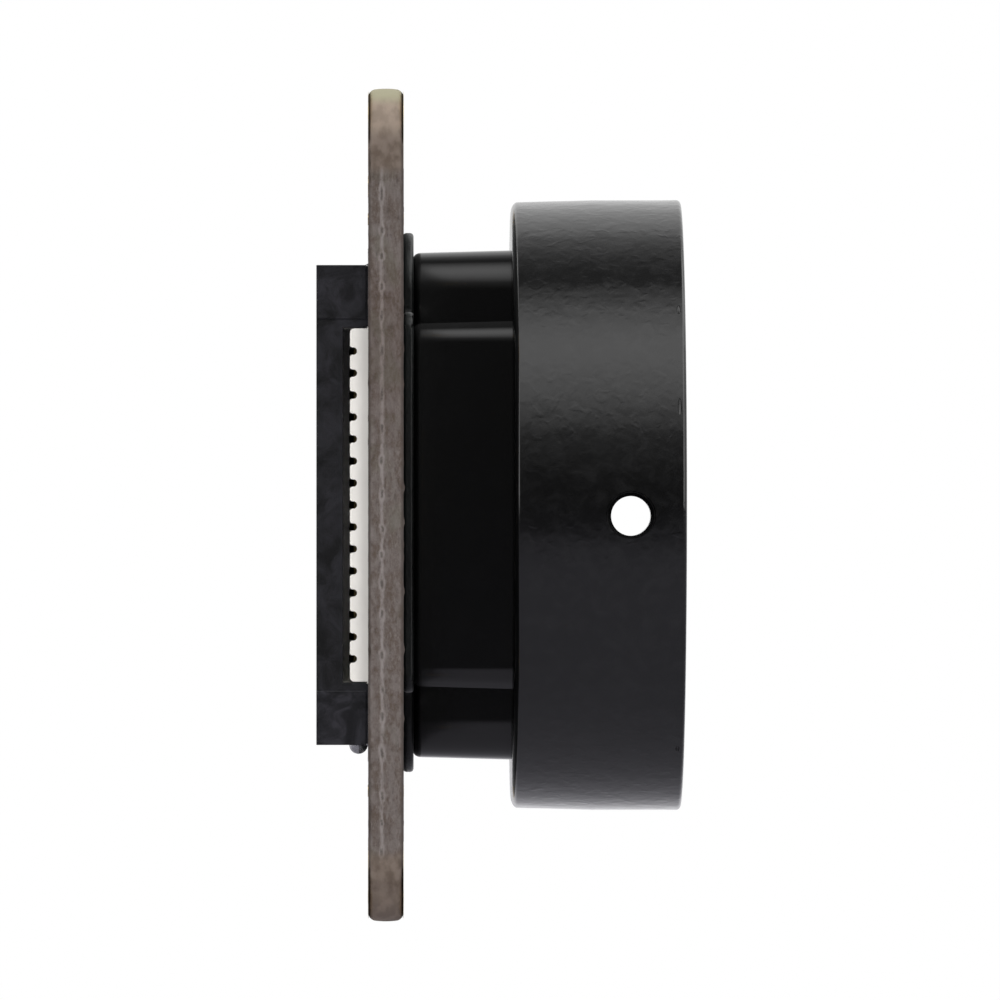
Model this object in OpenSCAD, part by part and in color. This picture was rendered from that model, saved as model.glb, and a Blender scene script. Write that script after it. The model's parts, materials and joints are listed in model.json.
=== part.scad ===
// Board camera module: a square circuit board with a CS-mount lens holder on its front
// and a fifteen-way flat-cable connector on its back.
// Frame: +X runs out of the lens mount along the optical axis, +Z is up, and the cable
// leaves towards -Y. The origin is the middle of the four mounting holes on the board's
// back face. Millimetres.

/* [Circuit board] */
// Side of the square board
board_w = 38; // [37:0.5:42]
// Thickness of the board
board_t = 1.6; // [1.2:0.1:2]
// Radius of the board's corners
board_corner_r = 2.5; // [1:0.25:3]
// Distance between the mounting holes along each side
mount_spacing = 34; // [32:0.5:34]
// Diameter of the mounting holes
mount_hole_d = 2.2; // [2:0.1:2.6]

/* [Lens holder] */
// Distance from the board's front face to the lens seat
seat_h = 13; // [12.5:0.1:14]
// Side of the holder's square body, at its base
body_w = 16.8; // [16:0.1:17.4]
// Edge radius of the holder's body
body_edge_r = 0.9; // [0.5:0.1:1.2]
// Thickness of the body, from the gasket to the ring
body_t = 4.55; // [4.2:0.01:4.8]
// Radius of the rounded screw ears, at their base
ear_r = 1.83; // [1.7:0.01:2.2]
// How far the body's sides lean out over their height
body_draft = 0.12; // [0:0.02:0.2]
// Width of the bevel round the body's foot
foot_bevel = 0.2; // [0.1:0.05:0.3]
// Height of the bevel round the body's foot
foot_bevel_h = 0.36; // [0.2:0.02:0.6]
// Outer diameter of the lens ring, at the lens seat
ring_d = 28.6; // [28:0.1:30]
// How far the ring's side leans in towards its back
ring_draft = 0.1; // [0:0.01:0.25]
// Radius of the ring's back edge
ring_back_r = 0.7; // [0.2:0.05:0.8]
// Radius of the ring's front edge
ring_front_r = 0.2; // [0.1:0.02:0.3]

/* [Lens thread] */
// Major diameter of the lens thread, one inch
thread_d = 25.4; // [25:0.1:25.6]
// Depth of the threaded bore below the lens seat
thread_depth = 6.3; // [5.5:0.1:6.4]
// Width of the bevel at the mouth of the thread
thread_bevel = 0.3; // [0.1:0.05:0.5]
// Diameter of the well behind the thread
well_d = 14; // [12:0.5:15]
// Diameter of the light opening in front of the filter
aperture_d = 10; // [9:0.2:10.6]

/* [Locking hole in the ring] */
// Distance from the lens seat back to the hole's centre
lock_hole_back = 2.57; // [2.2:0.01:3.4]
// Height of the hole above the optical axis
lock_hole_z = -0.5; // [-1:0.01:1]
// Diameter of the hole in the near wall
lock_hole_d = 1.82; // [1.6:0.01:2]
// Diameter of the hole's countersunk mouth
lock_mouth_d = 2.25; // [2.1:0.05:2.4]
// Diameter of the opposite hole in the far wall
far_hole_d = 3.2; // [2.4:0.1:3.4]

/* [Filter and sensor] */
// Side of the square filter glass
filter_w = 11.4; // [11:0.1:12]
// Thickness of the filter glass
filter_t = 0.7; // [0.5:0.1:0.8]
// Side of the square chamber over the sensor
chamber_w = 13; // [12.4:0.1:13.4]
// Depth of the chamber over the sensor, inside the holder
chamber_t = 1.7; // [1.5:0.1:1.8]
// Sensor's length along Z
sensor_l = 8.5; // [7:0.1:9]
// Sensor's width along Y
sensor_w = 7.4; // [6:0.1:8]
// Height of the image plane above the board
image_h = 0.49; // [0.4:0.01:0.6]
// Height of the solder balls under the sensor
ball_h = 0.13; // [0.1:0.01:0.2]
// Thickness of the sensor's cover glass
cover_t = 0.4; // [0.3:0.05:0.5]

/* [Gasket] */
// Thickness of the gasket under the holder
gasket_t = 0.5; // [0.3:0.05:0.6]
// Side of the gasket's square middle
gasket_w = 17.6; // [17.2:0.1:18]
// Radius of the gasket's rounded ears
gasket_ear_r = 2.64; // [2.4:0.02:2.8]
// How far the gasket is laid above the middle of the holder
gasket_offset = 0.12; // [0:0.01:0.15]

/* [Holder screws] */
// Distance between the two screws
screw_spacing = 20; // [19.5:0.1:20.4]
// Diameter of the screw's shank
screw_d = 1.4; // [1.2:0.1:1.6]
// Diameter of the screw's head
screw_head_d = 2.5; // [2.3:0.1:2.6]
// Height of the screw's head
screw_head_h = 0.9; // [0.7:0.1:1]
// Length of the screw under its head
screw_l = 5.6; // [5:0.1:5.8]

/* [Cable connector] */
// Number of contacts
contacts = 15; // [15:1:15]
// Distance between contacts
contact_pitch = 1; // [1:0.25:1]
// Overall length of the connector, along Z
conn_l = 21.82; // [21.8:0.01:22.2]
// Overall height of the connector above the board's back face
conn_h = 2.36; // [2.3:0.01:2.6]
// Distance from the board's edge in to the connector's front face
conn_inset = 0.5; // [0.3:0.1:0.8]
// Thickness of a flat cable that fits the slot
cable_t = 0.3; // [0.25:0.01:0.3]
// How far the slider pulls out to let the cable go
slider_travel = 1.2; // [0.8:0.1:1.3]

/* [Hidden] */
$fn = 96;
cut = 0.5;      // how far a cutting shape runs past the face that it opens
fit_gap = 0.05; // running clearance of the slider in its housing

// Stations along the optical axis, from the board's back face
gasket_x = board_t;
body_x = gasket_x + gasket_t;
ring_x = body_x + body_t;
seat_x = board_t + seat_h;
thread_x = seat_x - thread_depth;
filter_seat_x = body_x + chamber_t + filter_t + 0.1;
aperture_t = 1;
well_x = filter_seat_x + aperture_t;
lock_hole_x = seat_x - lock_hole_back;
screw_hole_t = 3.9;
spacer_t = 0.045;
spacer_wall = 0.55;

// Connector, measured from the board's centre and up from its back face
conn_y = -board_w / 2 + conn_inset; // front face of the closed slider
plate_t = 1.1;                      // slider's front plate
plate_y = conn_y + plate_t;         // back of the front plate
shell_y = plate_y + 0.1;            // front of the housing's end blocks
rear_y = shell_y + 4.4;             // back of the housing
lip_h = 0.05;                       // foot of the housing, seen under the slider
lip_l = conn_l - 0.1;
lip_y = conn_y + 0.1;
floor_h = 0.83;                     // top of the floor that carries the contacts
slot_h = floor_h + cable_t + 0.025; // underside of the slider
floor_l = contacts * contact_pitch + 1.06;
shell_l = 20.7;
shell_h = conn_h - 0.11;
tongue_t = 0.35;
tongue_y = plate_y + 2.8;
contact_w = 0.3;
contact_t = 0.15;
contact_y = conn_y + 1.6;           // tips of the contacts
contact_slot_w = 0.34;
contact_slot_t = 0.32;
contact_mouth_w = 0.46;
contact_mouth_t = 0.08;
contact_floor_h = floor_h - contact_slot_t;
parting_z = 8.46;                   // step between the slider's middle and its ends
tab_y = -15.2;                      // middle of the hold-down tabs
tab_w = 2;

// Chips on the board, each at [Y, Z]; memory and regulators are [width, length, height]
stand_off = 0.1; // gap under a chip with bent leads
memory_pos = [-5.4, 5.2];
memory_size = [3.9, 4.9, 1.4];
regulator_pos = [[9.2, -6.2], [9.2, 0], [9.2, 6.2]];
regulator_size = [1.6, 2.9, 1.1];
oscillator_pos = [-5.8, -5.6];
oscillator_size = [2.5, 3.2, 0.72];

// Two-terminal chips, each [Y, Z, turn]. Size is [length, width, height, end]
small_chip = [1, 0.5, 0.5, 0.22];
large_chip = [1.6, 0.8, 0.8, 0.32];
thin_chip = [1, 0.5, 0.34, 0.22];
ferrite_chip = [2, 1.25, 0.9, 0.45];
small_capacitors = [
    for (z = [-6.4 : 1.6 : 6.4]) [1.4, z, 0],
    for (z = [-4.8 : 1.6 : 4.8]) [3.2, z, 0]
];
large_capacitors = [
    for (p = regulator_pos, s = [-1, 1]) [p[0] - 2.9, p[1] + s * 0.75, 0],
    for (p = regulator_pos) [p[0] + 2.8, p[1] - 0.5, 90]
];
front_capacitors = [for (z = [-4.5 : 3 : 4.5]) [12.2, z, 90]];
resistors = [
    for (z = [-6 : 1.5 : 6]) [-10.3, z, 90],
    for (z = [-1.6 : 1.6 : 1.6]) [-6.8, z, 0],
    for (p = regulator_pos) [p[0] + 2.4, p[1] + 1.4, 90]
];
ferrites = [[15, -5.2, 90], [15, 5.2, 90]];

// Draws in plan: x is Y, y is Z, and z is the height above the board's back face
module on_front() rotate([90, 0, 90]) children();

// The same plan for the back of the board: z is the height behind the back face
module on_back() mirror([1, 0, 0]) on_front() children();

// Extrudes a side view of Y and height along Z, centred
module across(length) rotate([90, 0, 0]) linear_extrude(height = length, center = true) children();

module rounded_rect(w, h, r) {
    square([w - 2 * r, h], center = true);
    square([w, h - 2 * r], center = true);
    for (sx = [-1, 1], sy = [-1, 1])
        translate([sx * (w / 2 - r), sy * (h / 2 - r)]) circle(r = r);
}

module at_corners(spacing) {
    for (sx = [-1, 1], sy = [-1, 1])
        translate([sx * spacing / 2, sy * spacing / 2]) children();
}

module at_ears() for (s = [-1, 1]) translate([0, s * screw_spacing / 2]) children();

module at_contacts() {
    for (i = [0 : contacts - 1])
        translate([0, (i - (contacts - 1) / 2) * contact_pitch, 0]) children();
}

// Points of an arc, for a profile
function arc(centre, r, from, to, steps = 8) = [
    for (i = [0 : steps])
        let (a = from + (to - from) * i / steps) centre + r * [cos(a), sin(a)]
];

// ---------------------------------------------------------------- board and gasket

module circuit_board() {
    color([0.10, 0.16, 0.13])
    on_front() linear_extrude(height = board_t) difference() {
        rounded_rect(board_w, board_w, board_corner_r);
        at_corners(mount_spacing) circle(d = mount_hole_d);
        at_ears() circle(d = screw_d + 0.2);
    }
}

module holder_gasket() {
    color([0.12, 0.13, 0.12])
    on_front() translate([0, gasket_offset, gasket_x]) linear_extrude(height = gasket_t) difference() {
        union() {
            rounded_rect(gasket_w, gasket_w, 0.8);
            square([2 * gasket_ear_r, screw_spacing], center = true);
            at_ears() circle(r = gasket_ear_r);
        }
        square(chamber_w, center = true);
        at_ears() circle(d = screw_d + 0.3);
    }
}

// ---------------------------------------------------------------- lens holder

// A round post that starts with the foot's bevel and widens with the draft
module drafted_post(r) {
    cylinder(r1 = r - foot_bevel, r2 = r, h = foot_bevel_h, $fn = 32);
    translate([0, 0, foot_bevel_h])
        cylinder(r1 = r, r2 = r + body_draft, h = body_t - foot_bevel_h, $fn = 32);
}

module ring_blank() {
    back_r = ring_d / 2 - ring_draft;
    front_r = ring_d / 2;
    rotate_extrude() polygon(concat(
        [[0, ring_x]],
        arc([back_r - ring_back_r, ring_x + ring_back_r], ring_back_r, -90, 0),
        arc([front_r - ring_front_r, seat_x - ring_front_r], ring_front_r, 0, 90),
        [[0, seat_x]]
    ));
}

module lens_bores() {
    // thread, its mouth and the run-out at its root
    translate([0, 0, thread_x]) cylinder(d = thread_d, h = thread_depth + cut);
    translate([0, 0, seat_x - thread_bevel])
        cylinder(d1 = thread_d, d2 = thread_d + 2 * thread_bevel, h = thread_bevel);
    // well, light opening, filter pocket and sensor chamber
    translate([0, 0, well_x]) cylinder(d = well_d, h = thread_x - well_x + cut);
    translate([0, 0, filter_seat_x - cut]) cylinder(d = aperture_d, h = aperture_t + 2 * cut);
    translate([0, 0, body_x - cut]) linear_extrude(height = filter_seat_x - body_x + cut)
        rounded_rect(filter_w + 0.1, filter_w + 0.1, 0.3);
    translate([0, 0, body_x - cut]) linear_extrude(height = chamber_t + cut)
        rounded_rect(chamber_w, chamber_w, 0.8);
}

module lock_holes() {
    translate([0, lock_hole_z, lock_hole_x]) rotate([0, -90, 0]) {
        mouth_r = ring_d / 2 - ring_draft;
        sink_t = (lock_mouth_d - lock_hole_d) / 2;
        cylinder(d = lock_hole_d, h = ring_d);
        translate([0, 0, mouth_r - sink_t])
            cylinder(d1 = lock_hole_d, d2 = lock_mouth_d + 2 * cut, h = sink_t + cut);
        rotate([0, 180, 0]) cylinder(d = far_hole_d, h = ring_d);
    }
}

module lens_holder() {
    color([0.05, 0.05, 0.055])
    on_front() difference() {
        union() {
            translate([0, 0, body_x]) {
                hull() at_corners(body_w - 2 * body_edge_r) drafted_post(body_edge_r);
                hull() at_ears() drafted_post(ear_r);
            }
            ring_blank();
        }
        lens_bores();
        lock_holes();
        translate([0, 0, body_x - cut]) at_ears() cylinder(d = screw_d, h = screw_hole_t + cut);
    }
}

module holder_screws() {
    color([0.72, 0.73, 0.75])
    on_front() at_ears() difference() {
        union() {
            translate([0, 0, -screw_head_h]) rotate_extrude() polygon(concat(
                [[0, 0]],
                arc([screw_head_d / 2 - 0.35, 0.35], 0.35, -90, 0),
                [[screw_head_d / 2, screw_head_h], [0, screw_head_h]]
            ));
            cylinder(d = screw_d - 0.04, h = screw_l - 0.3);
            translate([0, 0, screw_l - 0.3])
                cylinder(d1 = screw_d - 0.04, d2 = screw_d - 0.5, h = 0.3);
        }
        // cross recess
        for (a = [0, 90]) rotate(a)
            translate([0, 0, -screw_head_h]) cube([1.4, 0.32, 0.9], center = true);
    }
}

// ---------------------------------------------------------------- filter and sensor

module filter_glass() {
    color([0.75, 0.85, 0.88])
    on_front() translate([0, 0, filter_seat_x - filter_t])
        linear_extrude(height = filter_t) rounded_rect(filter_w, filter_w, 0.3);
}

module sensor_slab(from_h, to_h) {
    translate([0, 0, board_t + from_h])
        linear_extrude(height = to_h - from_h) square([sensor_w, sensor_l], center = true);
}

module sensor_die() {
    color([0.25, 0.27, 0.32])
    on_front() sensor_slab(ball_h, image_h);
}

module sensor_spacer() {
    color([0.15, 0.15, 0.14])
    on_front() difference() {
        sensor_slab(image_h, image_h + spacer_t);
        translate([0, 0, board_t + image_h]) cube(
            [sensor_w - 2 * spacer_wall, sensor_l - 2 * spacer_wall, 1], center = true);
    }
}

module sensor_cover_glass() {
    color([0.80, 0.88, 0.90])
    on_front() sensor_slab(image_h + spacer_t, image_h + spacer_t + cover_t);
}

module sensor_solder_balls() {
    color([0.75, 0.75, 0.76])
    on_front() for (i = [-3 : 3], j = [-3.5 : 3.5])
        translate([i, j, board_t]) cylinder(d = 0.32, h = ball_h, $fn = 32);
}

// ---------------------------------------------------------------- cable connector

// Stamped hold-down tabs: a foot soldered to the board and a blade let into the housing
module hold_down_shapes() {
    for (s = [-1, 1]) translate([tab_y, 0]) rotate([90, 0, 90])
        linear_extrude(height = tab_w, center = true) polygon([
            [s * (shell_l / 2 - 0.2), 0], [s * (conn_l / 2 + 0.02), 0],
            [s * (conn_l / 2 + 0.02), 0.2], [s * shell_l / 2, 0.2],
            [s * shell_l / 2, 0.95], [s * (shell_l / 2 - 0.2), 0.95]
        ]);
}

// Front end of a contact's groove: round at its root and flared at its mouth
module contact_groove() {
    r = contact_slot_w / 2;
    translate([0, contact_floor_h + r]) circle(r = r, $fn = 32);
    translate([-r, contact_floor_h + r]) square([2 * r, contact_slot_t]);
    translate([0, floor_h]) polygon([
        [-r, -contact_mouth_t], [r, -contact_mouth_t],
        [contact_mouth_w / 2, 0], [contact_mouth_w / 2, cut / 2],
        [-contact_mouth_w / 2, cut / 2], [-contact_mouth_w / 2, 0]
    ]);
}

module connector_housing() {
    color([0.90, 0.89, 0.86])
    on_back() difference() {
        union() {
            // shell with bevelled back
            across(shell_l) polygon([
                [shell_y, 0], [rear_y, 0], [rear_y, shell_h - 0.4],
                [rear_y - 0.4, shell_h], [shell_y, shell_h]
            ]);
            // contact floor, with rounded upper corners
            translate([conn_y + 0.08, 0, 0]) rotate([90, 0, 90])
                linear_extrude(height = plate_t + 0.3) {
                    translate([0, floor_h / 4]) square([floor_l, floor_h / 2], center = true);
                    translate([0, floor_h / 2]) rounded_rect(floor_l, floor_h, 0.2);
                }
            // foot below the slider
            across(lip_l) translate([lip_y, 0]) square([shell_y - lip_y + 0.2, lip_h]);
        }
        // slot for the slider's tongue and the cable
        across(floor_l) polygon([
            [shell_y - cut, floor_h], [tongue_y + 0.25, floor_h],
            [tongue_y + 0.25, slot_h + tongue_t + fit_gap],
            [shell_y - cut, slot_h + tongue_t + fit_gap]
        ]);
        // one groove for each contact, and its way out through the back
        at_contacts() translate([conn_y, 0, 0]) rotate([90, 0, 90])
            linear_extrude(height = contact_y - conn_y) contact_groove();
        at_contacts() translate([contact_y - fit_gap, -contact_slot_w / 2, contact_floor_h])
            cube([tongue_y + 0.25 - contact_y + fit_gap, contact_slot_w, contact_slot_t + cut / 2]);
        at_contacts() across(contact_w + 0.04) polygon([
            [tongue_y, contact_floor_h], [rear_y + cut, contact_floor_h],
            [rear_y + cut, contact_floor_h + contact_t + 0.02],
            [tongue_y, contact_floor_h + contact_t + 0.02]
        ]);
        // guides for the slider's latches, in both ends
        for (s = [-1, 1]) translate([0, s * shell_l / 2, 0])
            translate([rear_y - 2.35, -0.25, 1.15]) cube([2, 0.5, 1]);
        hold_down_shapes();
    }
}

module connector_slider() {
    arm_in = shell_l / 2 + 0.07;
    arm_end = rear_y - 0.6;
    color([0.11, 0.11, 0.12])
    on_back() {
        // front plate: the middle stands back a little between the two ends
        across(2 * parting_z) polygon([
            [conn_y + 0.06, slot_h], [plate_y, slot_h], [plate_y, conn_h], [conn_y + 0.06, conn_h]
        ]);
        for (s = [-1, 1]) {
            translate([0, s * (parting_z + conn_l / 2) / 2, 0])
                across(conn_l / 2 - parting_z) polygon([
                    [conn_y, lip_h + fit_gap], [plate_y, lip_h + fit_gap],
                    [plate_y, conn_h], [conn_y, conn_h]
                ]);
            translate([0, s * (parting_z + floor_l / 2 + fit_gap) / 2, 0])
                across(parting_z - floor_l / 2 - fit_gap) polygon([
                    [conn_y + 0.06, lip_h + fit_gap], [plate_y, lip_h + fit_gap],
                    [plate_y, conn_h], [conn_y + 0.06, conn_h]
                ]);
            // arm with its latch, drawn in plan
            translate([0, 0, 1.25]) linear_extrude(height = 0.8) polygon([
                [plate_y - 0.1, s * arm_in], [arm_end - 0.5, s * arm_in],
                [arm_end - 0.35, s * (arm_in - 0.22)], [arm_end, s * (arm_in - 0.22)],
                [arm_end, s * (conn_l / 2 - 0.25)], [arm_end - 0.3, s * conn_l / 2],
                [plate_y - 0.1, s * conn_l / 2]
            ]);
        }
        // tongue that presses the cable on the contacts
        across(floor_l - 0.16) polygon([
            [plate_y - 0.1, slot_h], [tongue_y - 0.5, slot_h],
            [tongue_y, slot_h + 0.15], [tongue_y, slot_h + tongue_t],
            [plate_y - 0.1, slot_h + tongue_t]
        ]);
    }
}

module connector_contacts() {
    low = contact_floor_h;
    high = low + contact_t;
    bump_y = contact_y + 1.3;
    color([0.82, 0.72, 0.42])
    on_back() at_contacts() across(contact_w) polygon([
        [contact_y, low], [rear_y + 0.15, low], [rear_y + 0.3, low - 0.15],
        [rear_y + 0.3, 0], [rear_y + 1.1, 0], [rear_y + 1.1, contact_t],
        [rear_y + 0.45, contact_t], [rear_y + 0.45, low - 0.05], [rear_y + 0.22, high],
        [bump_y + 0.6, high], [bump_y + 0.15, floor_h + 0.04], [bump_y - 0.15, floor_h + 0.04],
        [bump_y - 0.6, high], [contact_y, high]
    ]);
}

module connector_hold_downs() {
    color([0.78, 0.77, 0.74])
    on_back() hold_down_shapes();
}

// The lower tab carries a full rounded bead of solder, the upper one only a thin fillet
module hold_down_solder() {
    bead_r = 0.43;
    bead_l = 0.8;
    fillet_h = 0.18;
    color([0.70, 0.70, 0.70])
    on_back() difference() {
        union() {
            translate([tab_y, -conn_l / 2 - 0.03, bead_r + 0.02]) {
                rotate([0, 90, 0]) cylinder(r = bead_r, h = bead_l, center = true);
                for (s = [-1, 1]) translate([s * bead_l / 2, 0, 0]) sphere(r = bead_r);
            }
            for (s = [-1, 1]) translate([tab_y, 0]) rotate([90, 0, 90])
                linear_extrude(height = tab_w - 0.4, center = true) polygon([
                    [s * (conn_l / 2 - 0.1), 0], [s * (conn_l / 2 + 0.12), 0],
                    [s * (conn_l / 2 + 0.03), fillet_h], [s * (conn_l / 2 - 0.1), fillet_h]
                ]);
        }
        hold_down_shapes();
        translate([-board_w / 2, -board_w / 2, -1]) cube([board_w, board_w, 1]);
    }
}

// ---------------------------------------------------------------- small components

// A moulded package, widest at the level where its leads come out
module moulded_body(l, w, h) {
    lean = 0.12;
    function flank(half) = [
        [-half + lean, 0], [half - lean, 0], [half, h / 2],
        [half - lean, h], [-half + lean, h], [-half, h / 2]
    ];
    intersection() {
        rotate([90, 0, 0]) linear_extrude(height = l + 1, center = true) polygon(flank(w / 2));
        rotate([90, 0, 90]) linear_extrude(height = w + 1, center = true) polygon(flank(l / 2));
    }
}

// A gull-wing lead from a package's side, out along +X to a foot on the board
module gull_lead(start, exit_h, span, lead_w, lead_t) {
    rotate([90, 0, 0]) linear_extrude(height = lead_w, center = true) polygon([
        [start, exit_h - lead_t / 2], [start + span * 0.3, exit_h - lead_t / 2],
        [start + span * 0.42, 0], [start + span, 0],
        [start + span, lead_t], [start + span * 0.6, lead_t],
        [start + span * 0.45, exit_h + lead_t / 2], [start, exit_h + lead_t / 2]
    ]);
}

// Memory chip, eight leads
module memory_chip_body() {
    color([0.13, 0.13, 0.14])
    on_back() translate([memory_pos[0], memory_pos[1], stand_off])
        moulded_body(memory_size[1], memory_size[0], memory_size[2]);
}

module memory_chip_leads() {
    color([0.78, 0.78, 0.78])
    on_back() translate([memory_pos[0], memory_pos[1], 0])
        for (turn = [0, 180], i = [-1.5 : 1.5]) rotate(turn) translate([0, i * 1.27, 0])
            gull_lead(memory_size[0] / 2, stand_off + memory_size[2] / 2, 1.05, 0.41, 0.18);
}

// Voltage regulators, five leads each: three on one side and two on the other
module at_regulators() for (p = regulator_pos) translate([p[0], p[1], 0]) children();

module regulator_bodies() {
    color([0.12, 0.12, 0.13])
    on_back() at_regulators() translate([0, 0, stand_off])
        moulded_body(regulator_size[1], regulator_size[0], regulator_size[2]);
}

module regulator_leads() {
    color([0.78, 0.78, 0.78])
    on_back() at_regulators() {
        for (i = [-1 : 1]) translate([0, i * 0.95, 0])
            gull_lead(regulator_size[0] / 2, stand_off + regulator_size[2] / 2, 0.6, 0.4, 0.15);
        for (i = [-1, 1]) rotate(180) translate([0, i * 0.95, 0])
            gull_lead(regulator_size[0] / 2, stand_off + regulator_size[2] / 2, 0.6, 0.4, 0.15);
    }
}

// Clock oscillator in a ceramic case with a metal lid
module oscillator_base() {
    color([0.30, 0.26, 0.22])
    on_back() translate([oscillator_pos[0], oscillator_pos[1], 0])
        linear_extrude(height = oscillator_size[2])
            rounded_rect(oscillator_size[0], oscillator_size[1], 0.2);
}

module oscillator_lid() {
    color([0.80, 0.79, 0.74])
    on_back() translate([oscillator_pos[0], oscillator_pos[1], oscillator_size[2]])
        linear_extrude(height = 0.18)
            rounded_rect(oscillator_size[0] - 0.3, oscillator_size[1] - 0.3, 0.3);
}

module at_places(places) for (p = places) translate([p[0], p[1], 0]) rotate(p[2]) children();

module chip_middle(size)
    translate([0, 0, size[2] / 2])
        cube([size[0] - 2 * size[3], size[1] - 0.03, size[2] - 0.03], center = true);

module chip_ends(size)
    for (s = [-1, 1]) translate([s * (size[0] - size[3]) / 2, 0, size[2] / 2])
        cube([size[3], size[1], size[2]], center = true);

module capacitor_bodies() {
    color([0.55, 0.42, 0.30]) {
        on_back() at_places(small_capacitors) chip_middle(small_chip);
        on_back() at_places(large_capacitors) chip_middle(large_chip);
        on_front() translate([0, 0, board_t]) at_places(front_capacitors) chip_middle(small_chip);
    }
}

module capacitor_ends() {
    color([0.80, 0.80, 0.80]) {
        on_back() at_places(small_capacitors) chip_ends(small_chip);
        on_back() at_places(large_capacitors) chip_ends(large_chip);
        on_front() translate([0, 0, board_t]) at_places(front_capacitors) chip_ends(small_chip);
    }
}

module resistor_bodies() {
    color([0.10, 0.10, 0.11])
    on_back() at_places(resistors) chip_middle(thin_chip);
}

module resistor_ends() {
    color([0.80, 0.80, 0.80])
    on_back() at_places(resistors) chip_ends(thin_chip);
}

module ferrite_bodies() {
    color([0.24, 0.24, 0.25])
    on_back() at_places(ferrites) chip_middle(ferrite_chip);
}

module ferrite_ends() {
    color([0.80, 0.80, 0.80])
    on_back() at_places(ferrites) chip_ends(ferrite_chip);
}

circuit_board();
holder_gasket();
lens_holder();
holder_screws();
filter_glass();
sensor_die();
sensor_spacer();
sensor_cover_glass();
sensor_solder_balls();
connector_housing();
connector_slider();
connector_contacts();
connector_hold_downs();
hold_down_solder();
oscillator_base();
oscillator_lid();
memory_chip_body();
memory_chip_leads();
regulator_bodies();
regulator_leads();
capacitor_bodies();
capacitor_ends();
resistor_bodies();
resistor_ends();
ferrite_bodies();
ferrite_ends();
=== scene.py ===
"""Looks for the camera module: materials, fine detail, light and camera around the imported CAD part."""

import json
import math

import bmesh
import bpy
from mathutils import Matrix, Vector, noise


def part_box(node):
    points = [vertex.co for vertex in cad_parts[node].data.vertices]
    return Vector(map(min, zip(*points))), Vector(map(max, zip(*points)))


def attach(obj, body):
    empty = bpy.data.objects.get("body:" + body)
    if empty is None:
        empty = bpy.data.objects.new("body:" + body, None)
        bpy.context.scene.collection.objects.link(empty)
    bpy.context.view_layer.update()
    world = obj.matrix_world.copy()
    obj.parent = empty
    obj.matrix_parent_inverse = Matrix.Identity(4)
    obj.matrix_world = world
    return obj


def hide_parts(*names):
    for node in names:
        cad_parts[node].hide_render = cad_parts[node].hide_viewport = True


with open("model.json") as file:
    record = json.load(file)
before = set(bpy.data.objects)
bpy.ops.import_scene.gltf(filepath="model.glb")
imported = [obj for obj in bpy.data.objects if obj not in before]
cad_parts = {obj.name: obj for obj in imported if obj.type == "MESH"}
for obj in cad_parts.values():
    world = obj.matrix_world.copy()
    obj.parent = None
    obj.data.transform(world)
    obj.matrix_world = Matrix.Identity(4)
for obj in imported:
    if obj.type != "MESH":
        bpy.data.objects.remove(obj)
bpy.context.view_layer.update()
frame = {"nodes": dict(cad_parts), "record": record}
NODES = frame["nodes"]
MM = 0.001

# ---------- sizes in mm, from the frame


def box_mm(node):
    low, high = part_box(node)
    return low / MM, high / MM


HOLDER_HIGH = box_mm("lens_holder")[1]
FILTER_HIGH = box_mm("filter_glass")[1]
DIE_LOW, DIE_HIGH = box_mm("sensor_die")
MOUNTS = {m["name"]: m for m in frame["record"]["mounts"]}
SIDES = (-1, 1)
BOARD_T, BOARD_HALF = box_mm("circuit_board")[1].xy
BOARD_CORNER_R = 2.5
BOARD_FLAT = BOARD_HALF - BOARD_CORNER_R
MOUNT_HALF = MOUNTS["board_holes"]["dims"]["spacing_x_mm"] / 2
MOUNT_HOLE_R = MOUNTS["board_holes"]["dims"]["hole_r_mm"]
MOUNT_PLACES = [(y * MOUNT_HALF, z * MOUNT_HALF) for y in SIDES for z in SIDES]
SCREW_Z = 10.0
SCREW_HOLE_R = 0.8

# ---------- mesh helpers


def make_object(name, verts, faces, smooth_angle=None):
    """A mesh object from corners in millimetres, facing outward and smooth below smooth_angle degrees."""
    mesh = bpy.data.meshes.new(name)
    mesh.from_pydata([tuple(v) for v in verts], [], faces)
    mesh.transform(Matrix.Scale(MM, 4))
    outward = bmesh.new()
    outward.from_mesh(mesh)
    bmesh.ops.recalc_face_normals(outward, faces=outward.faces)
    outward.to_mesh(mesh)
    outward.free()
    obj = bpy.data.objects.new(name, mesh)
    bpy.context.scene.collection.objects.link(obj)
    if smooth_angle is not None:
        shade(obj, smooth_angle)
    return obj


def shade(obj, angle):
    """Smooth shading, with sharp edges above an angle in degrees."""
    obj.data.polygons.foreach_set("use_smooth", [True] * len(obj.data.polygons))
    obj.data.set_sharp_from_angle(angle=math.radians(angle))


def ring_faces(rings, count, closed=False, start=0):
    """Quads between successive rings of the same number of corners."""
    faces = []
    for i in range(rings if closed else rings - 1):
        a, b = start + i * count, start + (i + 1) % rings * count
        for j in range(count):
            k = (j + 1) % count
            faces.append((a + j, a + k, b + k, b + j))
    return faces


def capped_faces(rings, count, start=0):
    """The same for an open row of rings, with the first and the last ring filled."""
    end = start + rings * count
    faces = ring_faces(rings, count, start=start)
    faces.append(tuple(reversed(range(start, start + count))))
    faces.append(tuple(range(end - count, end)))
    return faces


def arc(cx, cy, r, start, end, steps):
    """Points of an arc; angles in degrees."""
    turns = [math.radians(start + (end - start) * i / steps) for i in range(steps + 1)]
    return [(cx + r * math.cos(t), cy + r * math.sin(t)) for t in turns]


def circle(r, steps):
    return arc(0, 0, r, 0, 360, steps)[:-1]


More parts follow.
